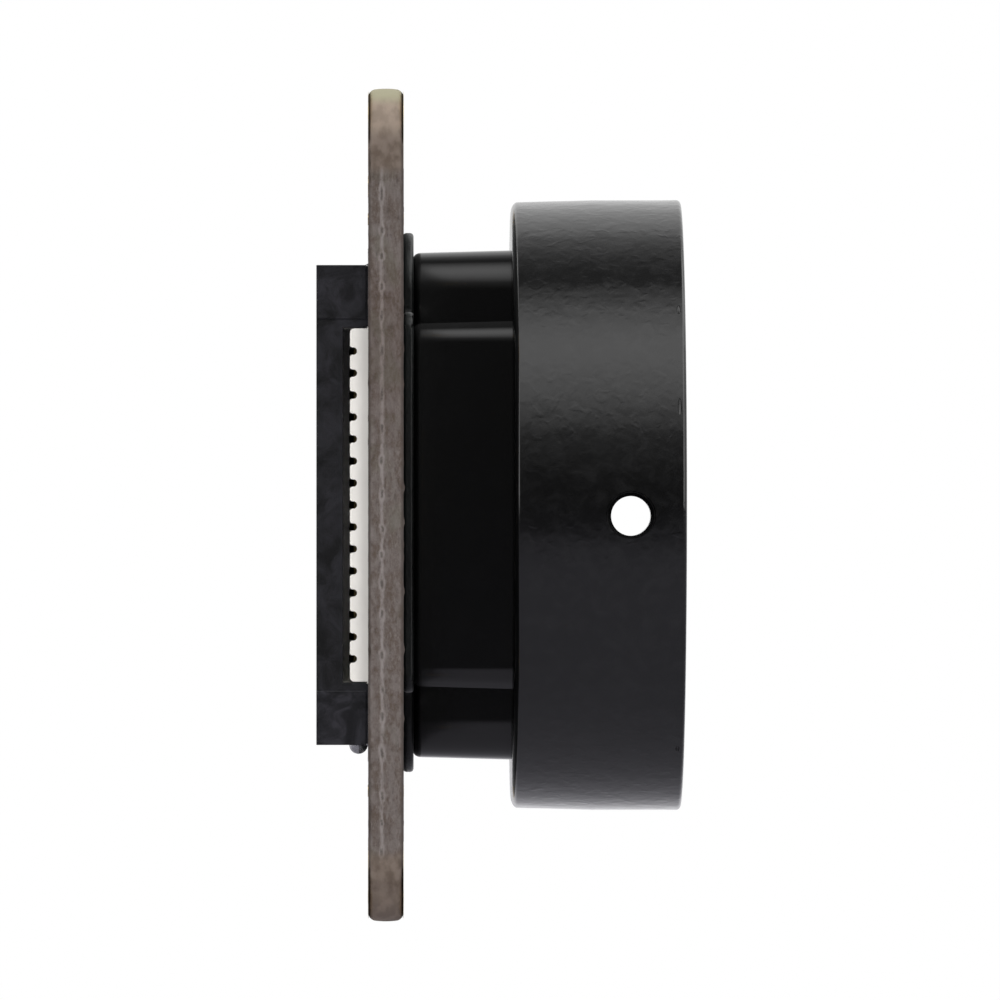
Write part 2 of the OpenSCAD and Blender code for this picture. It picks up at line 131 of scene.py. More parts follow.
class Shape:
    """Collects closed solids, in millimetres, for one mesh."""

    def __init__(self):
        self.verts, self.faces = [], []

    def loft(self, outlines):
        """Closed (x, [(y, z), ...]) outlines joined in order, with both ends filled."""
        start, count = len(self.verts), len(outlines[0][1])
        self.verts += [(x, y, z) for x, outline in outlines for y, z in outline]
        self.faces += capped_faces(len(outlines), count, start)

    def prism(self, outline, low, high):
        self.loft([(low, outline), (high, outline)])

    def block(self, y0, y1, z0, z1, low, high):
        self.prism([(y0, z0), (y1, z0), (y1, z1), (y0, z1)], low, high)

    def washer(self, y, z, r_out, r_in, low, high, steps=32):
        """A flat ring, or the lining of a hole."""
        start = len(self.verts)
        for r, x in ((r_out, low), (r_out, high), (r_in, high), (r_in, low)):
            self.verts += [(x, y + a, z + b) for a, b in circle(r, steps)]
        self.faces += ring_faces(4, steps, closed=True, start=start)

    def dot(self, y, z, r, low, high, steps=24):
        self.prism([(y + a, z + b) for a, b in circle(r, steps)], low, high)

    def ribbon(self, points, width, low, high):
        """A strip of even width along a bent line of (y, z) points, mitred at its bends."""
        left, right = [], []
        for i, (y, z) in enumerate(points):
            before = Vector(points[i]) - Vector(points[max(i - 1, 0)])
            after = Vector(points[min(i + 1, len(points) - 1)]) - Vector(points[i])
            before = (before if before.length else after).normalized()
            after = (after if after.length else before).normalized()
            along = (before + after).normalized()
            across = Vector((-along.y, along.x)) * width / 2 / max(0.5, along.dot(after))
            left.append((y + across.x, z + across.y))
            right.append((y - across.x, z - across.y))
        for i in range(len(points) - 1):
            self.prism([right[i], right[i + 1], left[i + 1], left[i]], low, high)

    def build(self, name, smooth_angle=None):
        return make_object(name, self.verts, self.faces, smooth_angle)


def loft(name, outlines):
    """One lofted solid as an object of its own."""
    shape = Shape()
    shape.loft(outlines)
    return shape.build(name)


def rounded_outline(half_y, half_z, r, steps=12):
    """A rectangle of Y and Z about the middle, with rounded corners."""
    corners = [(1, 1, 0), (-1, 1, 90), (-1, -1, 180), (1, -1, 270)]
    points = []
    for sy, sz, start in corners:
        points += arc(sy * (half_y - r), sz * (half_z - r), r, start, start + 90, steps)
    return points


def circles(outline, steps=256):
    """The (x, radius) outline as level circles, for a loft."""
    return [(x, circle(r, steps)) for x, r in outline]


def cylinder(name, base, axis, r, length, r_end=None, steps=64):
    """A cylinder or cone from base along axis."""
    turn = Vector(axis).normalized().to_track_quat("Z", "Y")
    r_end = r if r_end is None else r_end
    verts = []
    for radius, h in ((r, 0), (r_end, length)):
        verts += [Vector(base) + turn @ Vector((a, b, h)) for a, b in circle(radius, steps)]
    return make_object(name, verts, capped_faces(2, steps))


def ellipsoid(name, centre, axes, turn, steps=20):
    """An ellipsoid with half axes along X, Y and Z, turned by turn radians about X."""
    spin = Matrix.Rotation(turn, 3, "X")
    rows = steps // 2
    verts = []
    for i in range(1, rows):
        v = math.pi * (1 - i / rows)
        for a, b in circle(math.sin(v), steps):
            verts.append(Vector(centre) + spin @ Vector((axes[0] * a, axes[1] * b, axes[2] * math.cos(v))))
    return make_object(name, verts, capped_faces(rows - 1, steps))


def combine(target, others, operation):
    """Applies exact booleans to target, at a larger scale, and removes the other objects."""
    for part in [target] + others:
        part.data.transform(Matrix.Scale(1 / MM, 4))
    for other in others:
        modifier = target.modifiers.new("cut", "BOOLEAN")
        modifier.operation = operation
        modifier.solver = "EXACT"
        modifier.object = other
    graph = bpy.context.evaluated_depsgraph_get()
    result = bpy.data.meshes.new_from_object(target.evaluated_get(graph))
    target.modifiers.clear()
    target.data = result
    target.data.transform(Matrix.Scale(MM, 4))
    for other in others:
        bpy.data.objects.remove(other)


def solids(node):
    """The (low, high) corners in mm of each separate solid in a CAD node."""
    mesh = NODES[node].data
    parent = list(range(len(mesh.vertices)))

    def find(i):
        while parent[i] != i:
            parent[i] = parent[parent[i]]
            i = parent[i]
        return i

    places = {}
    for v in mesh.vertices:
        key = tuple(round(c / MM * 1000) for c in v.co)
        parent[find(v.index)] = find(places.setdefault(key, v.index))
    for edge in mesh.edges:
        parent[find(edge.vertices[0])] = find(edge.vertices[1])
    groups = {}
    for v in mesh.vertices:
        groups.setdefault(find(v.index), []).append(v.co / MM)
    return [
        (Vector(map(min, zip(*points))), Vector(map(max, zip(*points))))
        for points in groups.values()
    ]


def wear(obj, paint):
    obj.data.materials.clear()
    obj.data.materials.append(paint.material)


def place(obj, paint, replaced=None, body="module"):
    """Finishes a new piece: its material, the node it stands for and its body."""
    wear(obj, paint)
    if replaced:
        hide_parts(replaced)
    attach(obj, body)


# ---------- node and material helpers


class Nodes:
    """Builds a node tree out of sockets, numbers and colours."""

    def __init__(self, tree):
        self.tree = tree

    def add(self, kind, **settings):
        node = self.tree.nodes.new(kind)
        for key, value in settings.items():
            setattr(node, key, value)
        return node

    def link(self, output, socket):
        self.tree.links.new(output, socket)

    def feed(self, value, socket):
        """Links a socket, or sets a number or a colour."""
        if isinstance(value, (int, float)):
            socket.default_value = value
        elif isinstance(value, tuple):
            socket.default_value = (*value, 1)
        else:
            self.link(value, socket)

    def math(self, operation, *values):
        node = self.add("ShaderNodeMath", operation=operation)
        for socket, value in zip(node.inputs, values):
            self.feed(value, socket)
        return node.outputs[0]

    def times(self, a, b):
        return self.math("MULTIPLY", a, b)

    def plus(self, a, b):
        return self.math("ADD", a, b)

    def ramp(self, value, low, high, out_low=0.0, out_high=1.0):
        """value from low..high to out_low..out_high, smooth and clamped."""
        node = self.add("ShaderNodeMapRange", interpolation_type="SMOOTHSTEP")
        for socket, number in zip(node.inputs, (value, low, high, out_low, out_high)):
            self.feed(number, socket)
        return node.outputs[0]

    def mix(self, factor, a, b, blend="MIX"):
        """Mixes two colours."""
        node = self.add("ShaderNodeMix", data_type="RGBA", blend_type=blend)
        self.link(factor, node.inputs[0])
        self.feed(a, node.inputs[6])
        self.feed(b, node.inputs[7])
        return node.outputs[2]

    def split(self, vector):
        """The X, Y and Z outputs of a vector."""
        node = self.add("ShaderNodeSeparateXYZ")
        self.link(vector, node.inputs[0])
        return node.outputs


class Paint(Nodes):
    """A node material on the Principled shader, with its texture space in millimetres."""

    def __init__(self, name, color, roughness, metallic=0.0, specular=0.5, coat=0.0):
        self.material = bpy.data.materials.new(name)
        self.material.use_nodes = True
        super().__init__(self.material.node_tree)
        self.shader = self.tree.nodes["Principled BSDF"]
        self.set("Base Color", (*color, 1))
        self.set("Roughness", roughness)
        self.set("Metallic", metallic)
        self.set("Specular IOR Level", specular)
        self.set("Coat Weight", coat)
        where = self.add("ShaderNodeTexCoord")
        scale = self.add("ShaderNodeVectorMath", operation="SCALE")
        scale.inputs["Scale"].default_value = 1 / MM
        self.link(where.outputs["Object"], scale.inputs[0])
        self.space = scale.outputs[0]

    def set(self, socket, value):
        self.shader.inputs[socket].default_value = value

    def axes(self):
        return self.split(self.space)

    def noise(self, scale, detail=3.0, roughness=0.5, distortion=0.0, stretch=None):
        """Noise in the texture space, multiplied along X, Y and Z by stretch."""
        node = self.add("ShaderNodeTexNoise")
        settings = {"Scale": scale, "Detail": detail, "Roughness": roughness, "Distortion": distortion}
        for name, value in settings.items():
            node.inputs[name].default_value = value
        space = self.space
        if stretch:
            wider = self.add("ShaderNodeVectorMath", operation="MULTIPLY")
            wider.inputs[1].default_value = stretch
            self.link(space, wider.inputs[0])
            space = wider.outputs[0]
        self.link(space, node.inputs["Vector"])
        return node.outputs["Fac"]

    def color(self, output):
        self.link(output, self.shader.inputs["Base Color"])

    def roughness(self, output):
        self.link(output, self.shader.inputs["Roughness"])

    def bump(self, height, depth):
        """Relief of a depth in millimetres."""
        node = self.add("ShaderNodeBump")
        node.inputs["Distance"].default_value = depth * MM
        self.link(height, node.inputs["Height"])
        self.link(node.outputs[0], self.shader.inputs["Normal"])


def mottled(name, color, roughness, variation=0.15, grain=4.0, depth=0.004, **kwargs):
    """A plain finish with a little variation in tone and gloss, and a fine grain."""
    paint = Paint(name, color, roughness, **kwargs)
    broad = paint.noise(grain * 0.25, 3)
    fine = paint.noise(grain * 4, 4)
    dark = tuple(c * (1 - variation) for c in color)
    light = tuple(min(1, c * (1 + variation)) for c in color)
    paint.color(paint.mix(paint.ramp(broad, 0.3, 0.7), dark, light))
    paint.roughness(paint.ramp(fine, 0.3, 0.7, roughness * 0.85, min(1, roughness * 1.15)))
    paint.bump(fine, depth)
    return paint


# ---------- lens holder

SEAT_X = HOLDER_HIGH.x
RING_X = 6.65           # back of the ring
RING_FRONT_R = HOLDER_HIGH.z
RING_BACK_R = RING_FRONT_R - 0.1
RING_BACK_EDGE = 0.55   # its back edge is rounded over by this much in radius and depth
RING_BACK_DEPTH = 0.32
RING_FRONT_EDGE = 0.2
BODY_X = box_mm("holder_gasket")[1].x
BODY_HALF = 8.4
BODY_EDGE_R = 0.9
BODY_DRAFT = 0.12
EDGE_ARC = 50           # degrees of rounding before the body's crisp corner
EAR_R = 1.83
EAR_SCREW_R = 0.7
THREAD_R = MOUNTS["lens_thread"]["dims"]["r_mm"]
THREAD_BACK_X = 8.3
THREAD_PITCH = 25.4 / 32
THREAD_DEPTH = 0.36
APERTURE_X = 4.0
WELL_X = 5.6
WELL_R = 7.0
APERTURE_R = 5.0
CHAMBER_HALF = 6.5
CHAMBER_X = 3.8
POCKET_HALF = 5.75
CUT_FROM_X = 1.4        # cutters start behind the holder's back face
STEP = 0.001            # a step this small joins two radii at one depth
LOCK = MOUNTS["lock_hole_near"]
LOCK_X = LOCK["pos_m"][0] / MM
LOCK_Z = LOCK["pos_m"][2] / MM
LOCK_R = LOCK["dims"]["r_mm"]
LOCK_MOUTH_R = 1.125
LOCK_MOUTH_DEPTH = 0.25
FAR_R = MOUNTS["lock_hole_far"]["dims"]["r_mm"]
NICKS = ((39, 0.27), (18.4, 0.42), (-52, 0.18), (151, 0.3))  # angle round the ring, half length
NICK_IN = 0.32          # how far behind the front face they lie
NICK_WIDE, NICK_DEEP = 0.085, 0.07


def holder_paint():
    """Black paint: smooth and glossy on the body, with orange peel and specks on the ring."""
    paint = Paint("holder_paint", (0.0025, 0.0025, 0.0026), 0.24)
    on_ring = paint.ramp(paint.axes()[0], RING_X - 0.1, RING_X + 0.6, 0.1, 1.0)
    peel = paint.noise(1.3, 1.5, 0.45, distortion=0.4)
    specks = paint.ramp(paint.noise(2.2, 1, 0.4, distortion=0.5), 0.5, 0.78)
    grit = paint.noise(9, 2, 0.5)
    height = paint.plus(peel, paint.times(specks, 0.22))
    height = paint.plus(height, paint.times(grit, 0.025))
    paint.bump(paint.times(height, on_ring), 0.02)
    paint.roughness(paint.ramp(paint.noise(0.8, 4), 0.3, 0.7, 0.14, 0.18))
    scuffs = paint.times(paint.ramp(paint.noise(1.6, 4, 0.62, distortion=0.7), 0.4, 0.72), on_ring)
    paint.color(paint.mix(scuffs, (0.0022, 0.0022, 0.0023), (0.0068, 0.0068, 0.007)))
    return paint


def holder_foot(name, outline):
    """The body's or the ears' outline lofted up, with the foot's rounding and the draft."""
    # height above the gasket, growth of the outline
    foot = [(0.0, -0.2), (0.04, -0.13), (0.12, -0.06), (0.24, -0.015), (0.36, 0.0)]
    levels = [(BODY_X + h, grow) for h, grow in foot] + [(RING_X + 0.25, BODY_DRAFT)]
    return loft(name, [(x, outline(grow)) for x, grow in levels])


def body_outline(grow):
    """A square whose edges are rounded from the near and far sides up to a crisp corner."""
    half = BODY_HALF + grow
    r = BODY_EDGE_R + grow
    quarter = arc(half - r, half - r, r, 0, EDGE_ARC, 10)
    y, z = quarter[-1]
    quarter.append((y - (half - z) * math.tan(math.radians(EDGE_ARC)), half))
    right = quarter + [(-y, z) for y, z in reversed(quarter)]
    return right + [(-y, -z) for y, z in right]


def ear_outline(grow):
    r = EAR_R + grow
    return rounded_outline(r, SCREW_Z + r, r - STEP, 24)


def lock_cutters(prefix):
    """The locking hole with its mouth and blunted lip, and the wider hole in the far wall."""
    y = -RING_FRONT_R
    beyond = 20
    return [
        cylinder(prefix + name, (LOCK_X, start, LOCK_Z), (0, 1, 0), r, length, r_end, steps=96)
        for name, start, r, length, r_end in (
            ("near", -beyond, LOCK_R, beyond, LOCK_R),
            ("lip", y - 0.1, LOCK_MOUTH_R + 0.12, 0.17, LOCK_MOUTH_R - 0.02),
            ("mouth", y, LOCK_MOUTH_R, LOCK_MOUTH_DEPTH, LOCK_R),
            ("far", 0, FAR_R, beyond, FAR_R),
        )
    ]


def nick_cutters():
    """Small dents along the front edge of the ring."""
    r = RING_FRONT_R - 0.005
    cutters = []
    for angle, half in NICKS:
        t = math.radians(angle)
        centre = (SEAT_X - NICK_IN, -r * math.cos(t), r * math.sin(t))
        cutters.append(ellipsoid("nick", centre, (NICK_WIDE, NICK_DEEP, half), -t, 32))
    return cutters


def build_lens_holder(paint):
    """The one casting: ring, body and ears, bored out for the lens, the filter and the sensor."""
    ring = [
        (RING_X + (1 + a) * RING_BACK_DEPTH, RING_BACK_R - (1 - b) * RING_BACK_EDGE)
        for a, b in arc(0, 0, 1, 180, 90, 14)
    ]
    # levels before and behind the lock hole and the nicks keep their cuts free of long slivers
    ring += [(x, RING_FRONT_R - 0.01) for x in (10.5, 13.4, 13.8)]
    ring += arc(SEAT_X - RING_FRONT_EDGE, RING_FRONT_R - RING_FRONT_EDGE, RING_FRONT_EDGE, 90, 0, 6)
    casting = loft("lens_holder_casting", circles(ring, 320))
    body = holder_foot("body", body_outline)
    ears = holder_foot("ears", ear_outline)
    bore = [
        (APERTURE_X, APERTURE_R),
        (WELL_X - 0.12, APERTURE_R),
        (WELL_X, APERTURE_R + 0.12),
        (WELL_X + STEP, WELL_R),
        (THREAD_BACK_X - 0.15, WELL_R),
        (THREAD_BACK_X, WELL_R + 0.15),
        (THREAD_BACK_X + STEP, THREAD_R),
        (SEAT_X - 0.3, THREAD_R),
        (SEAT_X + 1, THREAD_R + 1.3),
    ]
    pocket = rounded_outline(POCKET_HALF, POCKET_HALF, 0.3, 4)
    chamber = rounded_outline(CHAMBER_HALF, CHAMBER_HALF, 0.8, 8)
    cutters = [
        loft("bore", circles(bore, 320)),
        loft("pocket", [(x, pocket) for x in (CUT_FROM_X + 0.1, FILTER_HIGH.x)]),
        loft("chamber", [(x, chamber) for x in (CUT_FROM_X, CHAMBER_X)]),
    ]
    cutters += lock_cutters("hole_")
    for side in SIDES:
        base = (CUT_FROM_X + 0.1, 0, side * SCREW_Z)
        cutters.append(cylinder("screw", base, (1, 0, 0), EAR_SCREW_R, 4.5, steps=32))
    cutters += nick_cutters()
    combine(casting, [body, ears], "UNION")
    combine(casting, cutters, "DIFFERENCE")
    shade(casting, 28)
    place(casting, paint, "lens_holder")


def build_thread(paint):
    """The helical ridge of the lens thread, rooted in the bore's wall and fading at both ends."""
    start_x, end_x = THREAD_BACK_X + 0.7, SEAT_X - 0.35
    turns = (end_x - start_x) / THREAD_PITCH
    per_turn = 144
    count = int(turns * per_turn)
    half = THREAD_PITCH * 0.42
    crest = 0.06
    root = -0.05
    verts = []
    for i in range(count + 1):
        t = 2 * math.pi * i / per_turn
        x = start_x + THREAD_PITCH * i / per_turn
        fade = min(1, i / per_turn * 3, (count - i) / per_turn * 3)
        depth = THREAD_DEPTH * max(0.03, fade)
        profile = ((-half, root), (-half, 0.0), (-crest, depth), (crest, depth), (half, 0.0), (half, root))
        for dx, inward in profile:
            r = THREAD_R - inward
            verts.append((x + dx, r * math.cos(t), r * math.sin(t)))
    thread = make_object("lens_thread", verts, capped_faces(count + 1, len(profile)))
    combine(thread, lock_cutters("thread_"), "DIFFERENCE")
    shade(thread, 25)
    place(thread, paint)


# ---------- circuit board

MASK_T = 0.035
MILLED_FROM = 16.1   # the board's edge is cut smooth from here to its corners and along its Z ends
MILLED_TO = 16.7
BROWN_FROM = 15.2    # heat from the cutter has left a brown zone, then a pale one
PALE_FROM = 17.0
# the yellowish tips of the ends: the laminate's own colour, made lighter as a painted highlight, mostly at
# the upper end, which faces the light from above
TIP_HIGHLIGHT_FROM, TIP_HIGHLIGHT_TO = 18.1, 18.7
LOWER_END_SHIFT = 0.7
EDGE_ROUNDING = 0.3
CROWN = 0.08
BACK, FRONT = SIDES
WEAVE_PITCH = 1.52   # of the glass yarns along the edge
WEAVE_X = 0.62


def smoothstep(value, low, high):
    """0 below low, 1 above high and smooth between."""
    t = min(1, max(0, (value - low) / (high - low)))
    return t * t * (3 - 2 * t)


def board_outline(spacing=0.15):
    """Evenly spaced points round the board, as (y, z, outward y, outward z)."""
    points = []
    steps = int(2 * BOARD_FLAT / spacing)
    corner_steps = 24
    side = [(BOARD_HALF, -BOARD_FLAT + 2 * BOARD_FLAT * i / steps, 1, 0) for i in range(steps)]
    for i in range(corner_steps):
        t = math.radians(90 * i / corner_steps)
        n, m = math.cos(t), math.sin(t)
        side.append((BOARD_FLAT + BOARD_CORNER_R * n, BOARD_FLAT + BOARD_CORNER_R * m, n, m))
    for k in range(4):
        turn = math.radians(90 * k)
        c, s = math.cos(turn), math.sin(turn)
        points += [(y * c - z * s, y * s + z * c, ny * c - nz * s, ny * s + nz * c) for y, z, ny, nz in side]
    return points


def yarn_chain(paint, x, y, z, fibres, grain):
    """Where the glass yarns show as a wandering chain, and the dark spots inside its links."""
    drift = paint.math("SUBTRACT", paint.noise(0.35, 2, stretch=(0, 1, 1)), 0.5)
    wander = paint.math("SUBTRACT", paint.noise(1.3, 3, 0.6, stretch=(0.6, 1, 1)), 0.5)
    centre = paint.plus(paint.times(wander, 0.2), WEAVE_X)
    off = paint.math("SUBTRACT", x, centre)
    phase = paint.plus(paint.plus(y, z), paint.times(drift, 2.0))
    wave = paint.math("COSINE", paint.times(phase, 2 * math.pi / WEAVE_PITCH))
    open_by = paint.ramp(paint.noise(0.28, 1, stretch=(0, 1, 1)), 0.38, 0.55, 0.35, 1.0)
    spread = paint.times(paint.ramp(wave, -0.2, 1.0, 0.0, 0.09), open_by)
    strand = paint.math("SUBTRACT", paint.math("ABSOLUTE", off), spread)
    line = paint.ramp(paint.math("ABSOLUTE", strand), 0.01, 0.13, 1.0, 0.0)
    spot = paint.times(paint.ramp(wave, 0.55, 0.95),
                      paint.ramp(paint.math("ABSOLUTE", off), 0.03, 0.09, 1.0, 0.0))
    line = paint.times(line, paint.ramp(fibres, 0.3, 0.62, 0.3, 0.8))
    spot = paint.times(spot, paint.ramp(grain, 0.35, 0.6, 0.35, 0.75))
    return line, spot


def resin_color(paint, fibres, grain):
    """Blotchy brown resin with pale and dark fibre ends and an olive tint here and there."""
    blotches = paint.noise(1.0, 4, 0.65, stretch=(2.6, 1.3, 1.3))
    tint = paint.noise(0.6, 3, stretch=(1.5, 1, 1))
    color = paint.mix(paint.ramp(blotches, 0.34, 0.66), (0.094, 0.071, 0.057), (0.148, 0.126, 0.116))
    for factor, tone in (
        (paint.ramp(fibres, 0.48, 0.7, 0.0, 0.68), (0.188, 0.164, 0.152)),
        (paint.ramp(fibres, 0.3, 0.46, 0.64, 0.0), (0.056, 0.044, 0.037)),
        (paint.ramp(grain, 0.42, 0.7, 0.0, 0.28), (0.192, 0.168, 0.16)),
        (paint.ramp(tint, 0.52, 0.7, 0.0, 0.4), (0.12, 0.114, 0.088)),
    ):
        color = paint.mix(factor, color, tone)
    return color


def milled_color(paint, height):
    """The milled ends: brown, then pale, then a yellowish tip, which is partly the laminate's own colour and
    partly a painted highlight.
    """
    patches = paint.ramp(paint.noise(1.0, 3, stretch=(2.2, 1.6, 1.6)), 0.35, 0.65)
    brown = paint.mix(patches, (0.12, 0.091, 0.07), (0.188, 0.149, 0.122))
    pale = paint.mix(patches, (0.205, 0.162, 0.128), (0.26, 0.208, 0.165))
    # painted highlight: the tip is lighter and yellower, mostly at the upper end
    pale = paint.mix(paint.ramp(height, TIP_HIGHLIGHT_FROM, TIP_HIGHLIGHT_TO), pale, (0.27, 0.255, 0.175))
    return paint.mix(paint.ramp(height, PALE_FROM - 0.5, PALE_FROM + 0.4), brown, pale)


def laminate_paint():
    """Cut glass epoxy: a chain of glass yarns in brown resin, paler where it was milled, with a painted
    highlight at the tips of the ends.
    """
    paint = Paint("laminate", (0.13, 0.11, 0.1), 0.75, specular=0.2)
    x, y, z = paint.axes()
    fibres = paint.noise(1.0, 5, 0.7, stretch=(7, 2.6, 2.6))
    grain = paint.noise(9, 3, 0.6)
    line, spot = yarn_chain(paint, x, y, z, fibres, grain)
    color = paint.mix(line, resin_color(paint, fibres, grain), (0.264, 0.236, 0.224))
    color = paint.mix(spot, color, (0.068, 0.061, 0.053))
    # a duller stretch in the upper half
    dull = paint.times(paint.ramp(z, 1.5, 6.0), paint.ramp(z, 9.0, 12.0, 1.0, 0.0))
    color = paint.mix(dull, color, (0.84, 0.8, 0.78), "MULTIPLY")
    reach = paint.math("ABSOLUTE", z)
    below = paint.times(paint.math("LESS_THAN", z, 0.0), -LOWER_END_SHIFT)
    height = paint.plus(reach, below)
    milled = paint.ramp(height, BROWN_FROM - 0.3, BROWN_FROM + 0.3)
    color = paint.mix(milled, color, milled_color(paint, height))
    # darker along both faces: partly the dark edge of the mask, partly painted shade next to the faces
    edge = paint.math("ABSOLUTE", paint.math("SUBTRACT", x, BOARD_T / 2))
    edge = paint.plus(edge, paint.times(grain, 0.06))
    mask_edge_and_shade = paint.ramp(edge, BOARD_T / 2 - 0.13, BOARD_T / 2 - 0.02, 0.0, 0.7)
    paint.color(paint.mix(mask_edge_and_shade, color, (0.055, 0.043, 0.038)))
    rough = paint.times(fibres, paint.ramp(reach, MILLED_FROM, MILLED_TO, 1.0, 0.0))
    paint.bump(rough, 0.03)
    return paint


def burr_height(y, z, side):
    """How far the broken edge stands up, from 0 to about 1, fading out towards the milled ends."""
    burr = max(0.0, noise.noise(Vector((y * 1.9, z * 1.9, side * 5)))) ** 1.5 * 2.2
    return burr * (1 - smoothstep(abs(z), 12.5, MILLED_FROM))


def build_laminate(paint):
    """The board's glass epoxy: rough with burrs where it was snapped off, smooth where it was milled."""
    outline = board_outline()
    near_faces = [0.0, 0.03, 0.08, 0.15, 0.25]
    last = near_faces[-1]
    levels = near_faces + [last + (BOARD_T - 2 * last) * i / 8 for i in range(1, 8)]
    levels += [BOARD_T - h for h in reversed(near_faces)]
    outlines = []
    for x in levels:
        face = min(x, BOARD_T - x)
        left = max(0.0, EDGE_ROUNDING - face)
        rounding = EDGE_ROUNDING - math.sqrt(max(0.0, EDGE_ROUNDING**2 - left**2))
        crown = CROWN * (2 * x / BOARD_T - 1) ** 2
        ring = []
        for y, z, ny, nz in outline:
            milled = smoothstep(abs(z), MILLED_FROM, MILLED_TO)
            dig = 0.5 + 0.5 * noise.noise(Vector((x * 3.2, y * 1.7, z * 1.7)))
            dig += 0.25 + 0.25 * noise.noise(Vector((x * 9, y * 6, z * 6)))
            chip = max(0.0, noise.noise(Vector((x * 4, y * 1.1, z * 1.1 + 40)))) * 0.12 * (face < 0.1)
            inward = (1 - milled) * (0.035 * dig + chip) + milled * (rounding + crown + 0.008)
            ring.append((y - ny * inward, z - nz * inward))
        outlines.append((x, ring))
    # the faces sink a little under the masks
    under = [(y - ny * 0.14, z - nz * 0.14) for y, z, ny, nz in outline]
    outlines = [(MASK_T * 0.7, under)] + outlines + [(BOARD_T - MASK_T * 0.7, under)]
    board = loft("board_laminate", outlines)
    for first, side, height in ((len(outline), BACK, 0.025), (len(outline) * len(levels), FRONT, 0.07)):
        for i, (y, z, _, _) in enumerate(outline):
            board.data.vertices[first + i].co.x += side * burr_height(y, z, side) * height * MM
    combine(board, board_drills(), "DIFFERENCE")
    shade(board, 40)
    place(board, paint, "circuit_board")


def board_drills():
    """Cutters for the mounting holes and the holder's screws."""
    places = [(y, z, MOUNT_HOLE_R, 64) for y, z in MOUNT_PLACES]
    places += [(0, side * SCREW_Z, SCREW_HOLE_R, 48) for side in SIDES]
    return [cylinder("drill", (-1, y, z), (1, 0, 0), r, 4, steps=steps) for y, z, r, steps in places]


def mask_paint(name, lift=1.0):
    """Dark satin solder mask over the glass weave."""
    paint = Paint(name, (0.011, 0.013, 0.012), 0.36)
    weave_y = paint.noise(1.0, 2, stretch=(0, 0.5, 7))
    weave_z = paint.noise(1.0, 2, stretch=(0, 7, 0.5))
    weave = paint.plus(weave_y, weave_z)
    paint.bump(paint.plus(weave, paint.times(paint.noise(14, 3), 0.5)), 0.006)
    dark = tuple(c * lift for c in (0.009, 0.0115, 0.0105))
    light = tuple(c * lift for c in (0.015, 0.0175, 0.0165))
    paint.color(paint.mix(paint.ramp(paint.noise(0.3, 3), 0.3, 0.7), dark, light))
    paint.roughness(paint.ramp(paint.noise(2, 3), 0.3, 0.7, 0.32, 0.42))
    return paint


def build_masks(paint):
    """The solder mask on both faces, pulled back from the cut edge and from the mounting holes."""
    for name, low in (("solder_mask_back", 0.0), ("solder_mask_front", BOARD_T - MASK_T)):
        ring = []
        for y, z, ny, nz in board_outline(0.5):
            inset = 0.1 + 0.2 * smoothstep(abs(z), MILLED_FROM, MILLED_TO)
            inset += 0.03 * noise.noise(Vector((y, z, low)))
            ring.append((y - ny * inset, z - nz * inset))
        mask = loft(name, [(low, ring), (low + MASK_T, ring)])
        combine(mask, board_drills(), "DIFFERENCE")
        shade(mask, 30)
        place(mask, paint)


# ---------- copper, ink and solder on the board

RAISE = 0.0145       # how far copper under the mask stands up
TRACE_STEP = 0.001   # keeps lines that cross from sharing a face
PAD_T = 0.02
PAD_MARGIN = 0.06
INK_T = 0.024
INK_WIDTH = 0.13
FRAME_WIDTH = 0.15
PLATING_T = 0.008
VIA_R, VIA_HOLE_R = 0.27, 0.13
STITCH_PITCH = 2.6
EDGE_LINE = BOARD_HALF - 1.0    # middle of the wide copper strip along each edge, and how far it runs
EDGE_RUN = BOARD_FLAT - 1.2
EDGE_WIDTH = 0.9


def level(side, high):
    """The X range of something that stands high above a face of the board."""
    return (-high, 0.0) if side == BACK else (BOARD_T, BOARD_T + high)


def chip_ends(ends_node, body_node, leads=False):
    """Each terminal or lead of some chips: its box, its face of the board and its outward direction."""
    bodies = [(low + high) / 2 for low, high in solids(body_node)]
    found = []
    for low, high in solids(ends_node):
        centre = (low + high) / 2
        away = centre - min(bodies, key=lambda b: (b - centre).length)
        along_y = leads or abs(away.y) > abs(away.z)
        outward = Vector((0, math.copysign(1, away.y), 0) if along_y else (0, 0, math.copysign(1, away.z)))
        found.append((low, high, BACK if centre.x < 0 else FRONT, outward))
    return found


TERMINALS = []
for kind in ("capacitor", "resistor", "ferrite"):
    TERMINALS += chip_ends(f"{kind}_ends", f"{kind}_bodies")
LEADS = chip_ends("memory_chip_leads", "memory_chip_body", leads=True)
LEADS += chip_ends("regulator_leads", "regulator_bodies", leads=True)
TAILS = sorted(((low + high) / 2).z for low, high in solids("connector_contacts"))
TAIL_Y = box_mm("connector_contacts")[1].y
MEMORY = solids("memory_chip_body")[0]
REGULATORS = solids("regulator_bodies")
OSCILLATOR = solids("oscillator_base")[0]


def span(low, high, outward):
    """How a box lies along outward and across it: outer face, inner face, middle and half width."""
    along, across = (1, 2) if abs(outward.y) > 0.5 else (2, 1)
    inner, outer = sorted((low[along], high[along]), reverse=outward[along] < 0)
    return outer, inner, (low[across] + high[across]) / 2, (high[across] - low[across]) / 2


